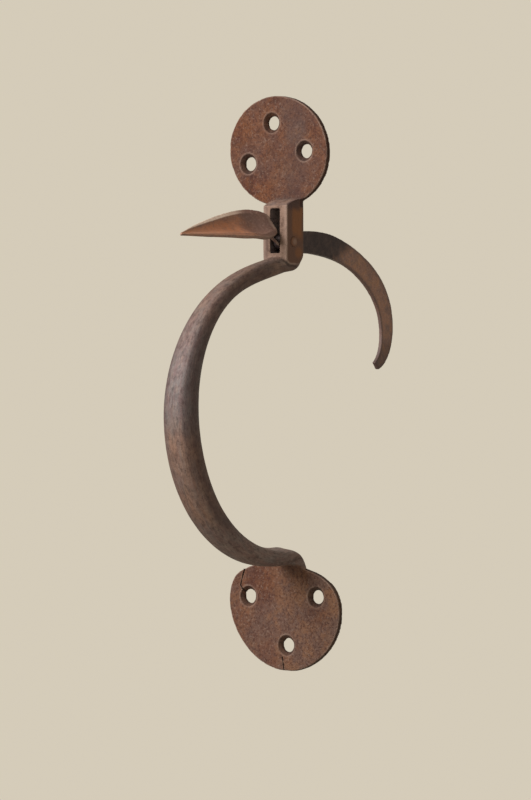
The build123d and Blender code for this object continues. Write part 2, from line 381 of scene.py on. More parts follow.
@dataclass(frozen=True)
class Forging:
    """How a CAD node is turned into hammered iron: cells, softness, hammer marks and cracks.

    Cell sizes and the cracks' raggedness are in millimetres. The bulges at which an edge begins
    to be rubbed and is bare, and at which a corner begins to be dirty and is full, are per metre.
    """

    voxel: float
    smoothing: int
    dents: Dents
    pits: Dents
    cracks: tuple[Crack, ...] = ()
    raggedness: float = 0.12
    rubbed_bulge: tuple[float, float] = (240.0, 800.0)
    dirty_bulge: tuple[float, float] = (150.0, 800.0)
    seed: int = 5

    def blank(self, node: bpy.types.Object, name: str) -> bpy.types.Object:
        """The node's surface, joined, remade as even cells and laid back on the node.

        Args:
            node: The CAD node's object, which stays as it is.
            name: Name of the new piece.

        Returns:
            The new object.
        """
        mesh = node.data.copy()
        mesh.materials.clear()
        with edited(mesh) as form:
            bmesh.ops.remove_doubles(form, verts=form.verts, dist=0.002 * MM)
        piece = add_object(name, mesh)
        cells = piece.modifiers.new("cells", "REMESH")
        cells.mode = "VOXEL"
        cells.voxel_size = self.voxel * MM
        lay = piece.modifiers.new("lay", "SHRINKWRAP")
        lay.target = node
        lay.wrap_method = "NEAREST_SURFACEPOINT"
        bpy.context.view_layer.update()
        graph = bpy.context.evaluated_depsgraph_get()
        made = bpy.data.meshes.new_from_object(piece.evaluated_get(graph))
        piece.modifiers.clear()
        piece.data = made
        for crack in self.cracks:
            self.refine(made, crack)
        return piece

    def refine(self, mesh: bpy.types.Mesh, crack: Crack) -> None:
        """Divides the cells beside a crack, so that its narrow groove has room.

        Args:
            mesh: The mesh, which is changed.
            crack: The crack.
        """
        for reach in crack.refined:
            near = crack.distance(Skin.read(mesh).points) < reach * MM
            with edited(mesh) as form:
                cut = [e for e in form.edges if near[e.verts[0].index] and near[e.verts[1].index]]
                bmesh.ops.subdivide_edges(form, edges=cut, cuts=1, use_grid_fill=True)
                bmesh.ops.triangulate(form, faces=[f for f in form.faces if len(f.verts) > 4])

    def split(self, skin: Skin) -> np.ndarray:
        """Sinks the cracks from both faces of a plate towards its middle.

        The groove is at its full depth within 0.4 of its half width, and ends at its half width. Each
        point moves along Y, against the sign of its own normal. On the cracks' inner walls, near the
        back, a few normals lean to the front, and those points end up to about 1 mm past the back.

        Args:
            skin: The surface.

        Returns:
            How far each vertex lies in a crack, from 0 to 1.
        """
        inside = np.zeros(len(skin.points))
        ragged = self.raggedness * MM * LatticeNoise(self.seed + 3).at(skin.points, 0.9 * MM)
        for crack in self.cracks:
            gap = crack.distance(skin.points) + ragged
            share = soft_step(gap, crack.half_width * MM, 0.4 * crack.half_width * MM)
            share *= soft_step(np.abs(skin.normals[:, 1]), 0.2, 0.6)
            inside = np.maximum(inside, share)
            skin.points[:, 1] -= np.sign(skin.normals[:, 1]) * share * crack.depth * MM
        skin.renew()
        return inside

    def beat(self, skin: Skin, low: Vector, high: Vector, sunk: np.ndarray,
             hammered: np.ndarray) -> None:
        """Moves the points inwards and keeps them inside the node's box.

        Args:
            skin: The surface.
            low: The box's lowest corner.
            high: The box's highest corner.
            sunk: Depth of the waves at each vertex, in metres.
            hammered: How likely hammer marks and pits are at each vertex, from 0 to 1.
        """
        depth = sunk + self.dents.on(skin.points, hammered) + self.pits.on(skin.points, hammered)
        skin.points -= skin.normals * depth[:, None]
        skin.points = np.clip(skin.points, np.array(low), np.array(high))
        skin.renew()

    def mark_edges(self, skin: Skin, cracked: np.ndarray) -> None:
        """Marks the rubbed edges and the dirty corners by how much the surface bulges.

        Args:
            skin: The surface.
            cracked: How far each vertex lies in a crack, from 0 to 1.
        """
        bulge = skin.bulge(2)
        worn = LatticeNoise(self.seed + 1).fractal(skin.points, 3 * MM, 3)
        skin.mark(Zone.WEAR, soft_step(bulge, *self.rubbed_bulge) * (0.75 + 0.5 * worn))
        skin.mark(Zone.HOLLOW, np.maximum(soft_step(-bulge, *self.dirty_bulge), cracked))
        skin.shade_smooth()


@dataclass(frozen=True)
class Signal:
    """A shader socket that takes part in Python expressions."""

    graph: "Graph"
    socket: Optional[bpy.types.NodeSocket]

    def _math(self, operation: str, *values: "Value") -> "Signal":
        """Result of a Math node."""
        return self.graph.node("ShaderNodeMath", {"operation": operation}, *values)

    def __add__(self, other: "Value") -> "Signal":
        """Sum."""
        return self._math("ADD", self, other)

    def __radd__(self, other: "Value") -> "Signal":
        """Sum with a number on the left."""
        return self._math("ADD", other, self)

    def __sub__(self, other: "Value") -> "Signal":
        """Difference."""
        return self._math("SUBTRACT", self, other)

    def __rsub__(self, other: "Value") -> "Signal":
        """Difference from a number on the left."""
        return self._math("SUBTRACT", other, self)

    def __mul__(self, other: "Value") -> "Signal":
        """Product."""
        return self._math("MULTIPLY", self, other)

    def __rmul__(self, other: "Value") -> "Signal":
        """Product with a number on the left."""
        return self._math("MULTIPLY", other, self)

    def most(self, other: "Value") -> "Signal":
        """The larger of two values."""
        return self._math("MAXIMUM", self, other)

    def step(self, low: float, high: float, top: float = 1.0) -> "Signal":
        """0 at low and top at high, smooth between them; low may be the larger one.

        Args:
            low: Value that gives 0.
            high: Value that gives top.
            top: Largest result.

        Returns:
            The smooth step.
        """
        settings = {"interpolation_type": "SMOOTHSTEP", "clamp": True}
        ends = (high, low, top, 0.0) if low > high else (low, high, 0.0, top)
        return self.graph.node("ShaderNodeMapRange", settings, self, *ends)


Value = Union[Signal, float]
Tone = Union[Signal, Colour]


@dataclass
class Graph:
    """Node tree of one material, with its one way of making nodes."""

    material: bpy.types.Material
    made: dict[str, Signal] = field(default_factory=dict)

    @staticmethod
    def begin(name: str) -> "Graph":
        """An empty tree in a new material.

        Args:
            name: The material's name.

        Returns:
            The tree.
        """
        material = bpy.data.materials.new(name)
        material.use_nodes = True
        material.node_tree.nodes.clear()
        return Graph(material)

    def node(self, kind: str, settings: dict[str, Any], *values: Any, out: int = 0,
             **named: Any) -> Signal:
        """Adds a node: its settings first, then the values or links of its sockets.

        Args:
            kind: Blender's node type.
            settings: The node's own properties, such as a Math node's operation.
            *values: Values or signals for the first sockets, in order; None leaves one alone.
            out: Which output the result reads.
            **named: Values or signals for sockets by name, with _ for a space.

        Returns:
            The chosen output, or a signal without a socket where the node has no outputs.
        """
        node = self.material.node_tree.nodes.new(kind)
        for key, value in settings.items():
            setattr(node, key, value)
        sockets: dict[Any, Any] = dict(enumerate(values))
        sockets.update({key.replace("_", " "): value for key, value in named.items()})
        for key, value in sockets.items():
            if isinstance(value, Signal):
                self.material.node_tree.links.new(value.socket, node.inputs[key])
            elif value is not None:
                place = node.inputs[key]
                short = place.type == "RGBA" and len(value) == 3
                place.default_value = (*value, 1.0) if short else value
        return Signal(self, node.outputs[out] if len(node.outputs) else None)

    def once(self, key: str, kind: str, settings: dict[str, Any], out: int) -> Signal:
        """A node without inputs, which is made at its first use.

        Args:
            key: Name that it is kept under.
            kind: Blender's node type.
            settings: The node's own properties.
            out: Which output is read.

        Returns:
            The output.
        """
        if key not in self.made:
            self.made[key] = self.node(kind, settings, out=out)
        return self.made[key]

    def place(self) -> Signal:
        """Object coordinates, in metres."""
        return self.once("place", "ShaderNodeTexCoord", {}, out=3)

    def zone(self, zone: Zone) -> Signal:
        """A point attribute: its value, or for the strokes its position."""
        out = 1 if zone is Zone.STROKE else 2
        return self.once(zone.value, "ShaderNodeAttribute", {"attribute_name": zone.value}, out)

    def noise(self, size: float, detail: float, rough: float, shift: float,
              at: Optional[Signal] = None) -> Signal:
        """Noise of about 0.2 to 0.8.

        Args:
            size: Size of its features, in millimetres.
            detail: Number of finer layers.
            rough: Strength of each finer layer.
            shift: Distance in metres that moves the pattern, so that two of them differ.
            at: Where it is read; object coordinates if not given.

        Returns:
            The noise's value.
        """
        moved = (shift, 1.7 * shift, -shift)
        where = self.node("ShaderNodeVectorMath", {"operation": "ADD"}, at or self.place(), moved)
        named = {"Scale": 1 / (size * MM), "Detail": detail, "Roughness": rough}
        return self.node("ShaderNodeTexNoise", {}, Vector=where, **named)

    def blend(self, share: Value, first: Tone, second: Tone) -> Signal:
        """Mixes two colours.

        Args:
            share: Share of the second colour.
            first: Colour at 0.
            second: Colour at 1.

        Returns:
            The mixed colour.
        """
        settings = {"data_type": "RGBA", "clamp_factor": True}
        spare = (None,) * 5
        return self.node("ShaderNodeMix", settings, share, *spare, first, second, out=2)

    def finish(self, colour: Signal, rough: Signal, metal: Value, relief: Signal, height: float,
               gloss: float = 0.4) -> bpy.types.Material:
        """Puts the finish on a surface shader.

        Args:
            colour: Base colour.
            rough: Roughness.
            metal: How metallic it is.
            relief: Height from 0 to 1.
            height: Height of 1, in millimetres.
            gloss: Strength of its reflections where it isn't metallic.

        Returns:
            The material.
        """
        bump = self.node("ShaderNodeBump", {}, Strength=0.9, Distance=height * MM, Height=relief)
        shader = self.node(
            "ShaderNodeBsdfPrincipled",
            {},
            Base_Color=colour,
            Roughness=rough,
            Metallic=metal,
            Normal=bump,
            Specular_IOR_Level=gloss,
        )
        self.node("ShaderNodeOutputMaterial", {}, shader)
        return self.material


@dataclass(frozen=True)
class Patches:
    """Noise cut into patches with soft edges; size is in millimetres and shift in metres."""

    size: float
    low: float
    high: float
    share: float = 1.0
    shift: float = 0.3
    detail: float = 5.0
    rough: float = 0.66

    def on(self, g: Graph, at: Optional[Signal] = None) -> Signal:
        """Strength of the patches: 0 where the noise is at low, and share where it is at high."""
        noise = g.noise(self.size, self.detail, self.rough, self.shift, at)
        return noise.step(self.low, self.high, self.share)


@dataclass(frozen=True)
class HandleIron:
    """Old forged iron: speckled rust on the plates, handled dark metal on the grip."""

    name: str = "handle_iron"
    rust_dark: Colour = (0.026, 0.009, 0.007)
    rust: Colour = (0.052, 0.017, 0.011)
    orange: Colour = (0.100, 0.040, 0.018)
    plum: Colour = (0.052, 0.025, 0.020)
    umber: Colour = (0.086, 0.055, 0.043)
    ochre: Colour = (0.134, 0.073, 0.043)
    ashen: Colour = (0.150, 0.108, 0.088)
    bare: Colour = (0.097, 0.067, 0.066)
    bare_light: Colour = (0.101, 0.089, 0.088)
    bare_rust: Colour = (0.190, 0.108, 0.070)
    front: Colour = (0.150, 0.098, 0.075)
    front_dark: Colour = (0.070, 0.042, 0.031)
    cheek: Colour = (0.125, 0.055, 0.026)
    cheek_dark: Colour = (0.062, 0.034, 0.026)
    worn: Colour = (0.200, 0.142, 0.116)
    # Dark colour for grime and for painted shade.
    grime: Colour = (0.034, 0.021, 0.021)
    # Near-black for dirt in hollows and cracks, and for painted shade on the rims, in the countersinks,
    # the crease and the joint line.
    soot: Colour = (0.009, 0.006, 0.005)
    mottling: Patches = Patches(3.0, 0.32, 0.68)
    warm_patches: Patches = Patches(7.0, 0.32, 0.62, share=0.8, shift=0.11)
    plum_clouds: Patches = Patches(11.0, 0.46, 0.62, share=0.7, shift=0.53)
    dark_clouds: Patches = Patches(6.0, 0.52, 0.68, share=0.5, shift=0.94, rough=0.7)
    earth_clouds: Patches = Patches(9.0, 0.44, 0.60, shift=1.53)
    earth_share: float = 0.8
    orange_specks: Patches = Patches(1.2, 0.53, 0.63, 0.3, 1.1, detail=4.0, rough=0.7)
    dark_specks: Patches = Patches(1.1, 0.48, 0.60, 0.6, 1.9, detail=4.0, rough=0.75)
    ashen_specks: Patches = Patches(0.8, 0.56, 0.64, 0.35, 2.7, detail=3.0, rough=0.7)
    long_strokes: Patches = Patches(2.2, 0.34, 0.66, shift=0.2, rough=0.68)
    rusty_strokes: Patches = Patches(3.2, 0.32, 0.62, share=0.55, shift=0.9, rough=0.64)
    pale_streaks: Patches = Patches(1.0, 0.50, 0.64, 0.35, 4.3, detail=4.0, rough=0.75)
    grimy_clouds: Patches = Patches(2.8, 0.44, 0.62, share=0.34, shift=5.1, rough=0.75)
    dark_streaks: Patches = Patches(0.8, 0.50, 0.64, 0.40, 3.1, detail=3.0, rough=0.75)
    front_clouds: Patches = Patches(2.4, 0.44, 0.66, share=0.8, shift=1.7, rough=0.65)
    bare_metal: float = 0.32
    relief: float = 0.34
    gloss: float = 0.12

    def plate(self, g: Graph) -> Signal:
        """Colour of the plates: mottling, clouds, and orange, dark and ashen specks.

        Args:
            g: The material's graph.

        Returns:
            The colour.
        """
        rusty = g.zone(Zone.RUST)
        colour = g.blend(self.mottling.on(g), self.rust_dark, self.rust)
        colour = g.blend(rusty * self.warm_patches.on(g), colour, self.orange)
        colour = g.blend(self.plum_clouds.on(g), colour, self.plum)
        colour = g.blend(self.dark_clouds.on(g), colour, self.rust_dark)
        earth = g.blend(self.earth_clouds.on(g), self.umber, self.ochre)
        colour = g.blend((1 - rusty) * self.earth_share, colour, earth)
        colour = g.blend(self.orange_specks.on(g), colour, self.orange)
        colour = g.blend(self.dark_specks.on(g), colour, self.rust_dark)
        return g.blend(self.ashen_specks.on(g), colour, self.ashen)

    def bar(self, g: Graph) -> Signal:
        """Colour of the grip: long strokes, rusty stretches, streaks and grimy clouds.

        Args:
            g: The material's graph.

        Returns:
            The colour.
        """
        stroke = g.zone(Zone.STROKE)
        colour = g.blend(self.long_strokes.on(g, stroke), self.bare, self.bare_light)
        rusty = g.zone(Zone.RUST) * (0.4 + self.rusty_strokes.on(g, stroke))
        colour = g.blend(rusty, colour, self.bare_rust)
        colour = g.blend(self.pale_streaks.on(g, stroke), colour, self.worn)
        colour = g.blend(self.grimy_clouds.on(g), colour, self.grime)
        return g.blend(self.dark_streaks.on(g, stroke), colour, self.soot)

    def neck(self, g: Graph, colour: Signal) -> Signal:
        """The colour, with the neck's upright-streaked cheeks and its clouded front laid over it.

        Args:
            g: The material's graph.
            colour: Colour of the rest.

        Returns:
            The colour of all.
        """
        upright = g.node("ShaderNodeVectorMath", {"operation": "MULTIPLY"}, g.place(), (1.0, 1.0, 0.3))
        streak = 0.45 + 1.1 * g.noise(1.8, 5, 0.66, 1.3, upright)
        cheek = g.blend(g.zone(Zone.RUST) * streak, self.cheek_dark, self.cheek)
        colour = g.blend(g.zone(Zone.CHEEK), colour, cheek)
        front = g.blend(self.front_clouds.on(g), self.front, self.front_dark)
        return g.blend(g.zone(Zone.FRONT), colour, front)

    def dress(self, piece: bpy.types.Object) -> None:
        """Makes the material and puts it on the piece.

        Args:
            piece: The piece, whose zones are marked.
        """
        g = Graph.begin(self.name)
        middle, fine = g.noise(2.6, 5, 0.6, 0.77), g.noise(0.65, 3, 0.6, 0.7)
        plate, wear = g.zone(Zone.PLATE), g.zone(Zone.WEAR)
        colour = g.blend(plate, self.bar(g), self.plate(g))
        # Painted shade: the plates' side faces are darkened towards soot.
        colour = g.blend(g.zone(Zone.RIM) * (0.35 + 0.5 * middle), colour, self.soot)
        colour = self.neck(g, colour)
        # Grime and painted shade: on the grip, on the neck's cheek top and nape, and on the plate below
        # the foot.
        colour = g.blend(g.zone(Zone.GRIME) * (0.6 + 0.8 * middle), colour, self.grime)
        # Dirt and painted shade in the countersinks, and painted shade in the crease and at the joint
        # line.
        colour = g.blend(g.zone(Zone.SINK) * (0.1 + 0.8 * middle), colour, self.soot)
        # Wear, and a painted highlight on the rings round the countersinks.
        colour = g.blend((wear * 0.6).most(g.zone(Zone.BRINK) * 0.7), colour, self.worn)
        colour = g.blend(g.zone(Zone.HOLLOW) * 0.8, colour, self.soot)
        rusty = plate.most(g.zone(Zone.RUST) * 0.7)
        rough = 0.54 + 0.22 * rusty + 0.16 * middle - 0.08 * wear
        metal = self.bare_metal - self.bare_metal * plate.most(g.zone(Zone.CHEEK))
        relief = middle * 0.35 + fine * (0.10 + 0.42 * rusty) + g.zone(Zone.SCALE) * fine
        piece.data.materials.append(g.finish(colour, rough, metal, relief, self.relief, self.gloss))


@dataclass(frozen=True)
class LeverIron:
    """Iron of the lever: a thumb-rubbed orange leaf with a painted highlight on its lip, a black bar
    and a brown tail with painted shade on its rim.
    """

    name: str = "lever_iron"
    brown: Colour = (0.150, 0.076, 0.055)
    brown_dark: Colour = (0.088, 0.049, 0.041)
    orange: Colour = (0.255, 0.100, 0.047)
    tawny: Colour = (0.175, 0.087, 0.057)
    ochre: Colour = (0.205, 0.098, 0.045)
    plum: Colour = (0.088, 0.048, 0.040)
    # Pale colour of the painted highlight on the leaf's lip and edges.
    lip: Colour = (0.340, 0.265, 0.215)
    black: Colour = (0.018, 0.010, 0.011)
    worn: Colour = (0.260, 0.180, 0.145)
    # Dark colour of the painted shade on the tail's rim.
    edge: Colour = (0.046, 0.027, 0.026)
    soot: Colour = (0.012, 0.008, 0.007)
    brown_patches: Patches = Patches(2.4, 0.34, 0.62, shift=0.47, rough=0.62)
    tawny_patches: Patches = Patches(8.0, 0.44, 0.62, 0.7, 0.21, detail=4.0, rough=0.6)
    ochre_patches: Patches = Patches(4.0, 0.48, 0.60, share=0.45, shift=3.7, rough=0.68)
    dark_patches: Patches = Patches(5.0, 0.50, 0.62, share=0.55, shift=4.9, rough=0.70)
    rubbed_patches: Patches = Patches(2.4, 0.62, 0.36, share=0.35, shift=0.47, rough=0.62)
    dark_flecks: Patches = Patches(1.1, 0.52, 0.66, 0.6, 1.3, detail=4.0, rough=0.65)
    worn_flecks: Patches = Patches(0.8, 0.53, 0.65, 0.3, 2.3, detail=4.0, rough=0.7)
    relief: float = 0.22

    def dress(self, piece: bpy.types.Object) -> None:
        """Makes the material and puts it on the piece.

        Args:
            piece: The piece, whose zones are marked.
        """
        g = Graph.begin(self.name)
        broad, middle = g.noise(8.0, 4, 0.6, 0.21), g.noise(2.4, 5, 0.62, 0.47)
        fine, black = g.noise(0.6, 3, 0.6, 0.81), g.zone(Zone.BLACK)
        thumb, root = g.zone(Zone.THUMB), g.zone(Zone.ROOT)
        colour = g.blend(self.brown_patches.on(g), self.brown_dark, self.brown)
        colour = g.blend(self.tawny_patches.on(g), colour, self.tawny)
        colour = g.blend(self.ochre_patches.on(g), colour, self.ochre)
        colour = g.blend(self.dark_patches.on(g), colour, self.brown_dark)
        rubbed = g.blend(self.rubbed_patches.on(g), self.orange, self.tawny)
        colour = g.blend(thumb, colour, rubbed)
        colour = g.blend(root * 0.78, colour, self.plum)
        colour = g.blend(self.dark_flecks.on(g), colour, self.brown_dark)
        colour = g.blend(self.worn_flecks.on(g), colour, self.worn)
        # Painted shade: the tail's rim is darkened.
        colour = g.blend(g.zone(Zone.RIM) * (0.2 + 0.9 * broad), colour, self.edge)
        colour = g.blend(black * (0.70 + 0.5 * middle), colour, self.black)
        # Painted highlight on the leaf's lip, near edge and root end.
        colour = g.blend(g.zone(Zone.LIP) * (0.75 + 0.3 * middle), colour, self.lip)
        colour = g.blend(g.zone(Zone.WEAR) * (0.5 - 0.4 * root), colour, self.worn)
        colour = g.blend(g.zone(Zone.HOLLOW) * 0.6, colour, self.soot)
        rough = 0.50 + 0.25 * middle - 0.08 * thumb
        metal = 0.10 + 0.25 * black
        relief = middle * 0.4 + fine * 0.3
        piece.data.materials.append(g.finish(colour, rough, metal, relief, self.relief))


@dataclass(frozen=True)
class Spot:
    """A soft round patch, seen along one axis; its place and sizes are in millimetres."""

    across: float
    level: float
    radius: float
    strength: float
    core: float = 0.3

    def on(self, across: np.ndarray, level: np.ndarray,
           wander: Union[np.ndarray, float] = 0.0) -> np.ndarray:
        """Its strength within core times its radius, 0 past its radius, and a soft step between.

        Args:
            across: Each point's place across, in millimetres.
            level: Each point's level, in millimetres.
            wander: Added to each point's distance, so that the edge is ragged.

        Returns:
            One value for each point.
        """
        away = np.hypot(across - self.across, level - self.level) + wander
        return self.strength * soft_step(away, self.radius, self.core * self.radius)


@dataclass(frozen=True)
class Plates:
    """Both plates: where they lie, their countersinks, edges, crust and rust, and the painted shade
    below the grip's foot.

    Lengths are in millimetres, and a hole is its x and its level. Between the two levels of
    halfway, the look of the upper plate gives way to that of the lower one. In the blooms the
    rust is more orange, or less so where their strength is below 0.
    """

    thickness: float = 2.5
    upper_low: float = 13.8
    lower_high: float = -127.4
    fall_right: float = 0.33
    fall_left: float = 0.1
    halfway: tuple[float, float] = (-100.0, -120.0)
    middle: float = -8.0
    holes: tuple[tuple[float, float], ...] = (
        (-8.5, 48.2),
        (8.0, 36.3),
        (-20.3, 32.2),
        (-20.3, -141.9),
        (13.8, -141.2),
        (-1.0, -160.9),
    )
    sink_radius: float = 4.25
    warmth: float = 0.78
    lower_cooler: float = 0.45
    blooms: tuple[Spot, ...] = (
        Spot(-16.9, 20.0, 10.0, 0.35),
        Spot(-22.0, 45.0, 8.0, 0.25),
        Spot(2.4, 44.4, 9.0, -0.50),
        Spot(0.0, 27.0, 7.0, -0.30),
        Spot(-15.4, -136.8, 13.0, 0.55),
        Spot(14.1, -148.4, 8.0, 0.40),
        Spot(-26.0, -152.0, 8.0, 0.25),
        Spot(-9.5, -166.0, 7.0, 0.40),
    )

    def on(self, skin: Skin) -> np.ndarray:
        """1 on both plates: no further out than their thickness, and off the neck and grip.

        The lower plate's upper edge falls from its middle by fall_right to the right, and by
        fall_left to the left, per unit of x.

        Args:
            skin: The surface.

        Returns:
            One value for each vertex.
        """
        x, y, z = skin.points.T / MM
        flat = soft_step(y, -self.thickness - 0.45, -self.thickness - 0.15)
        upper = soft_step(z, self.upper_low - 0.5, self.upper_low + 0.5)
        edge = self.lower_high - np.where(x > 0, self.fall_right * x, -self.fall_left * x)
        return flat * np.maximum(upper, soft_step(z - edge, 0.7, 0.1))

    def scale(self, skin: Skin, plates: np.ndarray) -> np.ndarray:
        """1 where the lower plate is crusted with scale: low on the right and below the foot.

        Args:
            skin: The surface.
            plates: 1 on the plates.

        Returns:
            One value for each vertex.
        """
        x, _, z = skin.points.T / MM
        ragged = 3 * LatticeNoise(51).fractal(skin.points, 6 * MM, 3)
        low = soft_step(0.55 * x - 0.8 * z + ragged, 128, 136)
        foot = band(x + ragged, 0, 12, 3) * band(z + ragged, -140, -130, 3)
        return plates * np.maximum(low, 0.6 * foot) * soft_step(z, *self.halfway)

    def countersinks(self, skin: Skin) -> tuple[np.ndarray, np.ndarray]:
        """1 in the countersinks, which take dirt and painted shade, and 1 on the thin ring round each,
        which takes wear and a painted highlight.

        Args:
            skin: The surface.

        Returns:
            Two values for each vertex, for the countersinks and for the rings.
        """
        x, _, z = skin.points.T / MM
        sink, ring = np.zeros(len(x)), np.zeros(len(x))
        for hole_x, hole_level in self.holes:
            past = np.hypot(x - hole_x, z - hole_level) - self.sink_radius
            sink = np.maximum(sink, soft_step(past, 0.1, -0.25))
            ring = np.maximum(ring, band(past, 0.1, 0.3, 0.35))
        return sink, ring

    def edges(self, skin: Skin, plates: np.ndarray, sink: np.ndarray) -> tuple[np.ndarray, ...]:
        """The plates' rims and the line where the neck joins on, which both take painted shade, and the
        brinks of their fronts.

        Args:
            skin: The surface.
            plates: 1 on the plates.
            sink: 1 in the countersinks.

        Returns:
            Three values for each vertex, for the rims, the brinks and the line.
        """
        x, y, z = skin.points.T / MM
        facing = -skin.normals[:, 1]
        # The plates' side faces are darkened as painted shade.
        rim = plates * soft_step(np.abs(facing), 0.75, 0.3) * (1 - sink)
        # The line where the neck meets the upper plate is darkened as painted shade.
        joint_shade = soft_step(np.abs(x), 8.5, 7.3) * soft_step(z, 19.0, 17.5) * soft_step(z, 12.0, 14.0)
        brink = plates * band(facing, 0.45, 0.93, 0.05) * (1 - sink) * (1 - joint_shade)
        joint_shade *= band(y, -3.6, -2.45, 0.25) * band(facing, 0.3, 0.97, 0.05)
        return rim, brink, joint_shade

    def rust(self, x: np.ndarray, z: np.ndarray, ragged: np.ndarray) -> np.ndarray:
        """How orange the plates are: less on the lower one, more to its left, and by the blooms.

        Args:
            x: Each vertex's place across, in millimetres.
            z: Its level.
            ragged: Makes the edges ragged, in millimetres.

        Returns:
            One value for each vertex.
        """
        cooler = self.lower_cooler - 0.008 * (self.middle - x)
        warm = self.warmth - cooler * soft_step(z, *self.halfway) + 0.03 * ragged
        return warm + sum(bloom.on(x, z, 0.9 * ragged) for bloom in self.blooms)

    def grime(self, x: np.ndarray, z: np.ndarray, ragged: np.ndarray) -> np.ndarray:
        """Painted shade on the lower plate, just below the grip's foot."""
        return 0.35 * soft_step(np.abs(x - 3) + 0.5 * ragged, 9, 3) * soft_step(z, -136, -130)


@dataclass(frozen=True)
class Neck:
    """The slotted block below the upper plate: its outline from the side, its marks, and its painted
    shade and darker strip.

    Lengths are in millimetres. The patch and the nape are spots seen from the side; the nape takes
    painted shade.
    """

    width: float = 12.3
    depth: float = 11.1
    foot: float = -8.8
    front_radius: float = 2.6
    back_radius: float = 4.4
    slot_half: float = 2.35
    slot_span: tuple[float, float] = (-4.4, 13.1)
    glow_span: tuple[float, float] = (-7.0, -1.6)
    patch: Spot = Spot(-3.4, -4.2, 3.0, 0.8, core=0.4)
    nape: Spot = Spot(-9.0, -12.0, 10.0, 0.5)

    def inset(self, y: np.ndarray, z: np.ndarray) -> np.ndarray:
        """Distance in from the side outline, a block whose two lower corners are rounded.

        Args:
            y: Each vertex's place along Y, in millimetres.
            z: Its level.

        Returns:
            One distance for each vertex, in millimetres, below 0 outside the outline.
        """
        front, back = self.front_radius, self.back_radius
        inset = np.minimum(z - self.foot, np.minimum(y + self.depth, -y))
        for centre, radius, way in ((front - self.depth, front, -1), (-back, back, 1)):
            out = np.hypot(y - centre, z - self.foot - radius)
            corner = ((y - centre) * way > 0) & (z < self.foot + radius)
            inset = np.where(corner, radius - out, inset)
        return inset

    def front(self, skin: Skin) -> np.ndarray:
        """1 on the flat front, above the foot.

        Args:
            skin: The surface.

        Returns:
            One value for each vertex.
        """
        _, y, z = skin.points.T / MM
        ahead = y + self.depth
        front = soft_step(-skin.normals[:, 1], 0.6, 0.85) * soft_step(ahead, 0.6, 0.1)
        return front * soft_step(ahead, -0.7, -0.3) * soft_step(z, self.foot, self.foot + 1)

    def cheeks(self, skin: Skin, plates: np.ndarray) -> np.ndarray:
        """1 on both flat sides, within the side outline.

        Args:
            skin: The surface.
            plates: 1 on the plates.

        Returns:
            One value for each vertex.
        """
        x, y, z = skin.points.T / MM
        side = soft_step(np.abs(x) - self.width / 2, -0.5, -0.25) * (1 - plates)
        side *= soft_step(np.abs(skin.normals[:, 0]), 0.45, 0.8)
        return side * soft_step(self.inset(y, z), 0, 0.35)

    def lines(self, skin: Skin, plates: np.ndarray) -> tuple[np.ndarray, np.ndarray]:
        """1 on the cheeks' rubbed arris, and 1 in the crease between their lower edge and the grip,
        which takes painted shade.

        Args:
            skin: The surface.
            plates: 1 on the plates.

        Returns:
            Two values for each vertex, for the arris and for the seam.
        """
        x, y, z = skin.points.T / MM
        inset = self.inset(y, z)
        fore = soft_step(y, -3.5, -6.5) * (1 - plates) * soft_step(np.abs(x), 4.0, 5.4)
        # The crease under the cheeks' lower edge is darkened as painted shade.
        crease_shade = fore * band(inset, -1.1, -0.45, 0.4) * soft_step(z, self.foot + 3, self.foot + 1)
        return fore * band(inset, 0.0, 0.3, 0.3), crease_shade

    def slot(self, x: np.ndarray, z: np.ndarray) -> np.ndarray:
        """1 in the slot and on its walls."""
        return band(x, -self.slot_half, self.slot_half, 0.3) * band(z, *self.slot_span, 0.3)

    def rust(self, y: np.ndarray, z: np.ndarray, ragged: np.ndarray) -> np.ndarray:
        """How orange the cheeks are: an upright glow down their middle, and a patch below it.

        Args:
            y: Each vertex's place along Y, in millimetres.
            z: Its level.
            ragged: Makes the edges ragged, in millimetres.

        Returns:
            One value for each vertex.
        """
        glow = band(y + 0.2 * ragged, *self.glow_span, 1.4)
        glow *= soft_step(z + 0.4 * ragged, -1, 5) * soft_step(z, 15.5, 12.5)
        return 0.15 + 0.85 * np.maximum(glow, self.patch.on(y, z))

    def grime(self, skin: Skin, front: np.ndarray, cheek: np.ndarray, ragged: np.ndarray) -> np.ndarray:
        """Painted shade on the right cheek's top under the upper plate and on the nape below the foot,
        and a darker left strip on the front.

        Args:
            skin: The surface.
            front: 1 on the neck's front.
            cheek: 1 on its cheeks.
            ragged: Makes the edges ragged, in millimetres.

        Returns:
            One value for each vertex.
        """
        x, y, z = skin.points.T / MM
        # Painted shade under the edge of the upper plate.
        top = soft_step(x, 4.6, 5.6) * soft_step(z + 0.3 * ragged, 11.5, 13.5)
        top *= soft_step(y, -1.5, -3.5)
        strip = front * soft_step(x + 0.3 * ragged, -3.0, -5.0)
        # Painted shade on the grip's heel, below the neck.
        nape = self.nape.on(y, z) * soft_step(z, self.foot, self.foot - 1) * (1 - cheek)
        return np.maximum.reduce([0.65 * top, 0.35 * strip, nape])


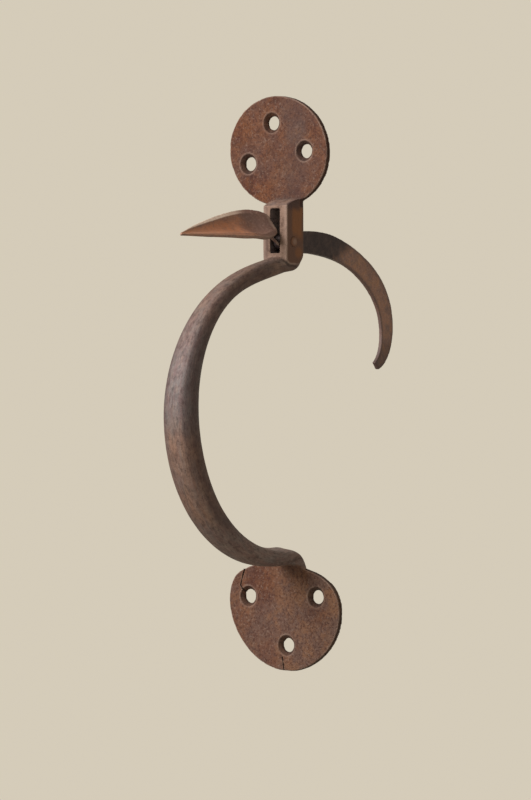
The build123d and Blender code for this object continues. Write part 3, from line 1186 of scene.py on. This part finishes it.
@dataclass(frozen=True)
class Grip:
    """The bow, which follows a circle seen from its side: its strokes, rust, and grime and painted
    shade.

    Lengths are in millimetres. The centre is a place along Y and a level.
    """

    centre: tuple[float, float] = (-12.0, -67.4)
    radius: float = 57.0
    stretch: float = 3.5
    rust_span: tuple[float, float] = (-104.0, -80.0)

    def strokes(self, skin: Skin) -> np.ndarray:
        """Positions on the unrolled bow: x, distance from its middle, and a shortened arc length.

        Args:
            skin: The surface.

        Returns:
            A row of three for each vertex, in metres.
        """
        x, y, z = skin.points.T
        out, up = y - self.centre[0] * MM, z - self.centre[1] * MM
        arc = np.arctan2(up, -out) * self.radius * MM / self.stretch
        return np.column_stack([x, np.hypot(out, up), arc])

    def rust(self, level: np.ndarray) -> np.ndarray:
        """How rusty the grip is: most below its middle and near the neck, and a little at its foot."""
        rust = 0.65 * band(level, *self.rust_span, 12.0) + 0.55 * soft_step(level, -50, -15)
        return rust + 0.25 * soft_step(level, -104, -114)

    def grime(self, skin: Skin) -> np.ndarray:
        """Painted shade on the sides, the inner side and the left faces, with grime on the sides where
        the hand doesn't rub.

        The hand rubs where the normal points away from the bow's middle, so that their cosine is 1.

        Args:
            skin: The surface.

        Returns:
            One value for each vertex.
        """
        y, z = skin.points[:, 1] / MM, skin.points[:, 2] / MM
        out = np.column_stack([y - self.centre[0], z - self.centre[1]])
        rubbed = (skin.normals[:, 1:] * out).sum(1) / np.linalg.norm(out, axis=1)
        # All three are painted shade; the sides also stand for grime where the hand doesn't rub.
        sides = 0.45 * soft_step(rubbed, 1.0, 0.82) * soft_step(z, -106, -84)
        inner = 0.6 * soft_step(rubbed, 0.7, 0.15) * soft_step(z, -122, -108)
        left = 0.35 * soft_step(skin.normals[:, 0], 0.0, -0.4)
        return np.maximum.reduce([sides, inner, left]) * soft_step(y, -12, -24)


@dataclass
class Handle:
    """The handle: plates, slotted neck and swelled grip in one forging.

    The crown of the grip's foot is softened in rounds, within crown_reach of its place. The waves
    and the crust are depths, also in millimetres, and grip_dents is how likely a hammer mark is
    on the grip, against 1 on the plates.
    """

    plates: Plates = Plates()
    neck: Neck = Neck()
    grip: Grip = Grip()
    foot_crown: Place = (0.0, -9.5, -121.0)
    crown_reach: tuple[float, float] = (10.0, 4.0)
    crown_rounds: int = 50
    rolled_waves: float = 0.10
    drawn_waves: float = 0.16
    crust: float = 0.14
    grip_dents: float = 0.02
    forging: Forging = Forging(
        voxel=0.5,
        smoothing=2,
        dents=Dents(300, 5.0, 0.14, 11),
        pits=Dents(700, 1.1, 0.14, 12),
        cracks=(
            Crack(((-20.6, -126.0), (-23.2, -133.4), (-24.4, -137.6), (-22.1, -141.0))),
            Crack(((-2.3, -172.5), (-2.7, -168.6), (-3.2, -165.8))),
        ),
    )
    finish: HandleIron = HandleIron()

    def build(self, frame: dict[str, Any]) -> bpy.types.Object:
        """Builds and dresses the handle.

        Args:
            frame: The loaded frame.

        Returns:
            The finished piece.
        """
        node = frame["nodes"][Piece.HANDLE.value]
        piece = self.forging.blank(node, "forged_handle")
        skin = Skin.read(piece.data)
        skin.smooth(self.forging.smoothing)
        off_crown = np.linalg.norm(skin.points / MM - self.foot_crown, axis=1)
        skin.relax(soft_step(off_crown, *self.crown_reach), self.crown_rounds)
        skin.renew()
        plates, stroke = self.plates.on(skin), self.grip.strokes(skin)
        scale = self.plates.scale(skin, plates)
        rolled = self.rolled_waves * LatticeNoise(5).swell(skin.points, 9 * MM, 3) * plates
        drawn = self.drawn_waves * LatticeNoise(5).swell(stroke, 3.5 * MM, 2) * (1 - plates)
        crust = self.crust * LatticeNoise(6).swell(skin.points, 1.1 * MM, 2) * scale
        low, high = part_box(Piece.HANDLE.value)
        off_door = soft_step(skin.points[:, 1] / MM, -0.1, -0.5)
        sunk = (rolled + drawn + crust) * MM * off_door
        self.forging.beat(skin, low, high, sunk, (self.grip_dents + plates) * off_door)
        cracked = self.forging.split(skin)
        self.forging.mark_edges(skin, cracked)
        skin.mark(Zone.PLATE, plates)
        skin.mark(Zone.STROKE, stroke)
        skin.mark(Zone.SCALE, scale)
        self.mark_zones(skin, plates)
        self.finish.dress(piece)
        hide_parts(Piece.HANDLE.value)
        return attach(piece, "handle")

    def mark_zones(self, skin: Skin, plates: np.ndarray) -> None:
        """Marks the neck, the painted-shade lines and the countersinks, the edges, the rust, and the
        grime and painted shade.

        Args:
            skin: The surface.
            plates: 1 on the plates.
        """
        x, y, z = skin.points.T / MM
        ragged = 6 * LatticeNoise(31).fractal(skin.points, 8 * MM, 3)
        patchy = 0.6 + 0.6 * LatticeNoise(61).fractal(skin.points, 5 * MM, 3)
        front, cheek = self.neck.front(skin), self.neck.cheeks(skin, plates)
        arris, crease_shade = self.neck.lines(skin, plates)
        sink, ring = self.plates.countersinks(skin)
        rim, brink, joint_shade = self.plates.edges(skin, plates, sink)
        skin.mark(Zone.FRONT, front)
        skin.mark(Zone.CHEEK, cheek)
        # Countersinks, crease and joint line: painted shade, with dirt in the countersinks.
        skin.mark(Zone.SINK, np.maximum.reduce([sink, crease_shade, 0.7 * joint_shade]))
        skin.mark(Zone.RIM, rim)
        # The rings round the countersinks are a painted highlight along with wear.
        skin.mark(Zone.BRINK, np.maximum(np.maximum(brink, 0.5 * ring * plates) * patchy, 0.8 * arris))
        rust = self.grip.rust(z + ragged) * (1 - self.neck.slot(x, z) * (1 - front))
        rust = np.where(cheek > 0.5, self.neck.rust(y, z, ragged), rust)
        skin.mark(Zone.RUST, rust * (1 - plates) + self.plates.rust(x, z, ragged) * plates)
        above = np.maximum(self.neck.grime(skin, front, cheek, ragged), self.grip.grime(skin))
        skin.mark(Zone.GRIME, above * (1 - plates) + self.plates.grime(x, z, ragged) * plates)


@dataclass
class Lever:
    """The lift lever: thumb leaf, stem, bar and curled tail in one forging.

    Lengths are in millimetres and angles in degrees. The leaf's root is a place along Y and a level.
    """

    leaf_root: tuple[float, float] = (-11.8, 7.2)
    leaf_droop: float = 5.3
    roll: float = 33.0
    root_roll: float = 56.0
    twist_length: float = 24.0
    twist_sharpness: float = 1.7
    lip_width: float = 2.1
    lip_share: float = 0.15
    black_end: float = 27.0
    tip_level: float = -37.0
    lean_rounds: int = 40
    waves: float = 0.07
    forging: Forging = Forging(
        voxel=0.34,
        smoothing=3,
        dents=Dents(160, 4.0, 0.07, 21),
        pits=Dents(260, 0.9, 0.08, 22),
        seed=15,
    )
    finish: LeverIron = LeverIron()

    def build(self, frame: dict[str, Any]) -> bpy.types.Object:
        """Builds and dresses the lever.

        Args:
            frame: The loaded frame.

        Returns:
            The finished piece.
        """
        node = frame["nodes"][Piece.LEVER.value]
        piece = self.forging.blank(node, "forged_lever")
        skin = Skin.read(piece.data)
        skin.smooth(self.forging.smoothing)
        skin.renew()
        low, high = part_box(Piece.LEVER.value)
        waves = self.waves * MM * LatticeNoise(15).swell(skin.points, 5 * MM, 3)
        self.forging.beat(skin, low, high, waves, np.ones(len(waves)))
        self.forging.mark_edges(skin, np.zeros(len(waves)))
        ragged = LatticeNoise(41).fractal(skin.points, 5 * MM, 3)
        self.mark_leaf(skin, ragged)
        self.mark_bar(skin, ragged)
        self.finish.dress(piece)
        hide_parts(Piece.LEVER.value)
        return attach(piece, "thumb_lever")

    def from_root(self, skin: Skin) -> tuple[np.ndarray, np.ndarray]:
        """Distance from the leaf's root along its drooping line, and height above that line.

        Args:
            skin: The surface.

        Returns:
            Two values for each vertex, in millimetres.
        """
        droop = math.radians(self.leaf_droop)
        out = skin.points[:, 1] / MM - self.leaf_root[0]
        up = skin.points[:, 2] / MM - self.leaf_root[1]
        along = -(out * math.cos(droop) + up * math.sin(droop))
        return along, up * math.cos(droop) - out * math.sin(droop)

    def across_leaf(self, skin: Skin) -> tuple[np.ndarray, np.ndarray, np.ndarray]:
        """Where each vertex lies across the leaf, whose roll grows towards its root.

        The roll at distance d is roll + (root_roll - roll) (1 - d / twist_length)^sharpness.

        Args:
            skin: The surface.

        Returns:
            Distance in from the far edge and the leaf's width there, in millimetres, and how
            far the surface faces up from the leaf.
        """
        along, level = self.from_root(skin)
        twist = np.clip(1 - along / self.twist_length, 0, 1) ** self.twist_sharpness
        roll = np.radians(self.roll + (self.root_roll - self.roll) * twist)
        across = skin.points[:, 0] / MM * np.cos(roll) - level * np.sin(roll)
        facing = skin.normals[:, 0] * np.sin(roll) + skin.normals[:, 2] * np.cos(roll)
        on_leaf = along > -0.2
        slices = np.arange(0, math.ceil(along.max()) + 1)
        index = np.clip(along.astype(int), 0, len(slices) - 1)
        far, near = np.full(len(slices), np.inf), np.full(len(slices), -np.inf)
        np.minimum.at(far, index[on_leaf], across[on_leaf])
        np.maximum.at(near, index[on_leaf], across[on_leaf])
        full = np.isfinite(far)
        far_edge = np.interp(along, slices[full] + 0.5, far[full])
        near_edge = np.interp(along, slices[full] + 0.5, near[full])
        return across - far_edge, near_edge - far_edge, facing

    def mark_leaf(self, skin: Skin, ragged: np.ndarray) -> None:
        """Marks the painted highlight on the leaf's lip and root edge, its rubbed middle and its dark
        root.

        Args:
            skin: The surface.
            ragged: Makes the edges ragged, from -1 to 1.
        """
        along, _ = self.from_root(skin)
        inwards, width, facing = self.across_leaf(skin)
        leaf = soft_step(along, -0.5, 0.5)
        upper = leaf * soft_step(facing, 0.1, 0.5)
        lip_width = np.minimum(self.lip_width, self.lip_share * width)
        # The lip faces up to the light; its pale colour is a painted highlight.
        lip = upper * soft_step(inwards - lip_width, 0.2, -0.2) * soft_step(along + 3 * ragged, 9, 22)
        share = inwards / np.maximum(width, 0.5)
        # Besides the thumb's rubbing, the orange reaches into the dish's shaded far side and is dimmed
        # at its bright near edge: painted light and painted shade that even out the dish's shading.
        thumb = soft_step(share + 0.08 * ragged, 0.13, 0.31) * soft_step(along + 5 * ragged, 3, 24)
        thumb *= upper * (1 - 0.45 * soft_step(share, 0.70, 0.95))
        # The near edge and the root's butt end take the same painted highlight.
        brink = soft_step(along, 2, 8) * soft_step(width - inwards, 1.0, 0.3)
        butt = soft_step(along, -0.6, 0.3) * soft_step(along, 2.2, 0.8) * soft_step(ragged, -0.4, 0.5)
        skin.mark(Zone.LIP, np.maximum.reduce([lip, 0.1 * brink, 0.4 * butt]))
        skin.mark(Zone.THUMB, thumb * (1 - lip))
        skin.mark(Zone.ROOT, leaf * soft_step(along + 5 * ragged, 24, 8))

    def mark_bar(self, skin: Skin, ragged: np.ndarray) -> None:
        """Marks the black bar, the tail's dark tip, and the painted shade on its rim.

        The rim is where normals averaged over a few millimetres lean off the tail's flat sides.

        Args:
            skin: The surface.
            ragged: Makes the edges ragged, from -1 to 1.
        """
        along, _ = self.from_root(skin)
        y, z = skin.points[:, 1] / MM, skin.points[:, 2] / MM
        black = soft_step(y - 1.5 * z + 6 * ragged, self.black_end + 16, self.black_end + 4)
        tip = 0.5 * soft_step(y, 35, 45) * soft_step(z + 3 * ragged, self.tip_level, self.tip_level - 6)
        lean = skin.normals
        for _ in range(self.lean_rounds):
            lean = skin.neighbours_mean(lean)
        slope = np.hypot(lean[:, 1], lean[:, 2]) / np.maximum(np.linalg.norm(lean, axis=1), 0.01)
        # The tail's rim, where it turns off the flat sides, takes painted shade.
        skin.mark(Zone.RIM, soft_step(slope, 0.12, 0.65) * soft_step(y, 10, 20))
        skin.mark(Zone.BLACK, np.maximum(black, tip) * soft_step(along, 0.5, -1.5))


@dataclass
class Rivet:
    """The pivot rivet: a rod with both ends hammered over into low, uneven domes; in millimetres."""

    turns: int = 72
    across: int = 12
    rod: float = 1.5
    neck: float = 0.3
    dome: float = 0.45
    unevenness: float = 0.10
    rust: float = 0.45
    # The heads' lighter middle is wear together with a painted highlight.
    wear: float = 0.6
    worn_reach: tuple[float, float] = (1.8, 0.5)
    finish: HandleIron = HandleIron("rivet_iron")

    def profile(self, half: float, head: float) -> np.ndarray:
        """Half outline from one dome's top to the other's.

        A dome is x = height cos(t), radius = head sin(t), for t from 0 to a right angle.

        Args:
            half: Half the rod's length, in metres.
            head: Radius of the heads, in metres.

        Returns:
            Rows of x and radius, in metres.
        """
        t = np.linspace(0.0, math.pi / 2, self.across)
        dome = np.stack([half + self.dome * MM * np.cos(t), head * np.sin(t)], 1)
        neck = np.array([[half, self.rod * MM], [half - self.neck * MM, self.rod * MM]])
        right = np.concatenate([dome, neck])
        return np.concatenate([right, right[::-1] * np.array([-1, 1])])

    def shape(self, low: Vector, high: Vector) -> bpy.types.Mesh:
        """Carries the profile round the pivot's axis, with a radius that wavers round the heads.

        At angle a the heads are smaller by unevenness (0.5 + 0.3 sin(3a + 1) + 0.2 sin(5a)).

        Args:
            low: Lowest corner of the node's box.
            high: Highest corner of the node's box.

        Returns:
            The closed mesh.
        """
        outline = self.profile(high.x - self.dome * MM, (high.z - low.z) / 2)
        angle = np.linspace(0, 2 * math.pi, self.turns, endpoint=False)
        waver = 1 - self.unevenness * (0.5 + 0.3 * np.sin(3 * angle + 1) + 0.2 * np.sin(5 * angle))
        radius = outline[:, 1:] * np.where(outline[:, 1:] > self.rod * MM, waver, 1.0)
        x = np.broadcast_to(outline[:, :1], radius.shape)
        grid = np.stack([x, radius * np.cos(angle), radius * np.sin(angle)], 2)
        grid = grid + np.array((low + high) / 2)
        inner = grid[1:-1].reshape(-1, 3)
        points = np.concatenate([inner, grid[0, :1], grid[-1, :1]])
        k = np.arange(self.turns)
        after = (k + 1) % self.turns
        ring = np.arange(len(outline) - 3)[:, None] * self.turns
        sides = np.stack([ring + k, ring + self.turns + k, ring + self.turns + after, ring + after], 2)
        last_ring = len(inner) - self.turns
        right, left = np.full(self.turns, len(inner)), np.full(self.turns, len(inner) + 1)
        caps = np.stack([right, k, after], 1).tolist()
        caps += np.stack([left, last_ring + after, last_ring + k], 1).tolist()
        mesh = bpy.data.meshes.new("pivot_rivet")
        mesh.from_pydata(points.tolist(), [], sides.reshape(-1, 4).tolist() + caps)
        with edited(mesh) as form:
            bmesh.ops.recalc_face_normals(form, faces=form.faces)
        return mesh

    def build(self, frame: dict[str, Any]) -> bpy.types.Object:
        """Builds and dresses the rivet, whose heads are worn in the middle and lightened there with a
        painted highlight.

        Args:
            frame: The loaded frame, which is not used.

        Returns:
            The finished piece.
        """
        low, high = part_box(Piece.PIN.value)
        piece = add_object("pivot_rivet", self.shape(low, high))
        skin = Skin.read(piece.data)
        out = np.hypot(skin.points[:, 1] - (low.y + high.y) / 2, skin.points[:, 2]) / MM
        skin.mark(Zone.CHEEK, np.ones(len(out)))
        skin.mark(Zone.RUST, np.full(len(out), self.rust))
        # Wear together with a painted highlight in the middle of each head.
        skin.mark(Zone.WEAR, self.wear * soft_step(out, *self.worn_reach))
        skin.shade_smooth()
        self.finish.dress(piece)
        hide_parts(Piece.PIN.value)
        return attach(piece, "handle")


@dataclass(frozen=True)
class SoftLight:
    """A rectangular lamp that points at the latch; angles in degrees, lengths in metres."""

    name: str
    azimuth: float
    elevation: float
    distance: float
    size: tuple[float, float]
    power: float
    colour: Colour


@dataclass
class Studio:
    """Pale floor, soft lights and the camera at the photograph's viewing angle; in metres.

    The floor is solid within solid_share of its radius. The image height and the focal length
    are in pixels of the photograph.
    """

    paper: Colour = (0.665, 0.602, 0.487)
    floor_tone: Colour = (0.36, 0.33, 0.28)
    floor_level: float = -0.32
    floor_radius: float = 0.75
    floor_corners: int = 96
    solid_share: float = 0.4
    azimuth: float = 38.0
    distance: float = 1.4
    aim: Place = (0.0, -0.0171, -0.0629)
    sensor_width: float = 36.0
    focal_pixels: float = 3534.0
    image_height: float = 800.0
    lights: tuple[SoftLight, ...] = (
        SoftLight("key", -30.0, 32.0, 1.2, (0.9, 0.9), 36.0, (1.0, 0.96, 0.93)),
        SoftLight("fill", 62.0, 0.0, 1.2, (0.6, 0.4), 2.2, (1.0, 0.98, 0.95)),
    )

    def ray(self, azimuth: float, elevation: float) -> Vector:
        """Unit direction from the latch towards a point of the studio; angles in degrees."""
        a, e = math.radians(azimuth), math.radians(elevation)
        return Vector((math.sin(a) * math.cos(e), -math.cos(a) * math.cos(e), math.sin(e)))

    def camera(self) -> None:
        """Camera with the photograph's perspective; the sensor's width is the long side's."""
        data = bpy.data.cameras.new("camera")
        data.sensor_width = self.sensor_width
        data.lens = self.sensor_width * self.focal_pixels / self.image_height
        camera = add_object("camera", data)
        back = self.ray(self.azimuth, 0.0)
        camera.location = Vector(self.aim) + back * self.distance
        camera.rotation_euler = (-back).to_track_quat("-Z", "Y").to_euler()
        bpy.context.scene.camera = camera

    def light(self, light: SoftLight) -> None:
        """Adds a lamp.

        Args:
            light: Its place, size, power and colour.
        """
        data = bpy.data.lights.new(light.name, "AREA")
        data.shape = "RECTANGLE"
        data.size, data.size_y = light.size
        data.energy = light.power
        data.color = light.colour
        lamp = add_object(light.name, data)
        away = self.ray(light.azimuth, light.elevation)
        lamp.location = Vector(self.aim) + away * light.distance
        lamp.rotation_euler = away.to_track_quat("Z", "Y").to_euler()

    def floor(self) -> None:
        """A pale disc under the latch, which is solid in the middle and fades out to its edge."""
        angle = np.linspace(0, 2 * math.pi, self.floor_corners, endpoint=False)
        rim = self.floor_radius * np.stack([np.cos(angle), np.sin(angle)], 1)
        points = np.column_stack([rim, np.full(self.floor_corners, self.floor_level)])
        mesh = bpy.data.meshes.new("floor")
        mesh.from_pydata(points.tolist(), [], [list(range(self.floor_corners))])
        floor = add_object("floor", mesh)
        g = Graph.begin("floor_paper")
        flat = g.node("ShaderNodeVectorMath", {"operation": "MULTIPLY"}, g.place(), (1.0, 1.0, 0.0))
        out = g.node("ShaderNodeVectorMath", {"operation": "LENGTH"}, flat, out=1)
        shown = out.step(self.floor_radius, self.solid_share * self.floor_radius)
        paper = {"Base_Color": self.floor_tone, "Roughness": 0.9, "Alpha": shown}
        shader = g.node("ShaderNodeBsdfPrincipled", {}, **paper)
        g.node("ShaderNodeOutputMaterial", {}, shader)
        mesh.materials.append(g.material)

    def build(self) -> None:
        """Makes the world, the lights, the floor and the camera."""
        world = bpy.data.worlds.new("paper")
        world.use_nodes = True
        background = world.node_tree.nodes["Background"]
        background.inputs["Color"].default_value = (*self.paper, 1.0)
        background.inputs["Strength"].default_value = 1.0
        bpy.context.scene.world = world
        bpy.context.scene.view_settings.view_transform = "Standard"
        for light in self.lights:
            self.light(light)
        self.floor()
        self.camera()


def main() -> None:
    """Builds the latch round the frame, in order, and reports each piece."""
    logging.basicConfig(level=logging.INFO, format="%(name)s: %(message)s")
    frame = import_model()
    Studio().build()
    for maker in (Handle(), Lever(), Rivet()):
        piece = maker.build(frame)
        triangles = sum(len(polygon.vertices) - 2 for polygon in piece.data.polygons)
        LOG.info("%s: %d triangles", piece.name, triangles)


if __name__ == "__main__":
    main()
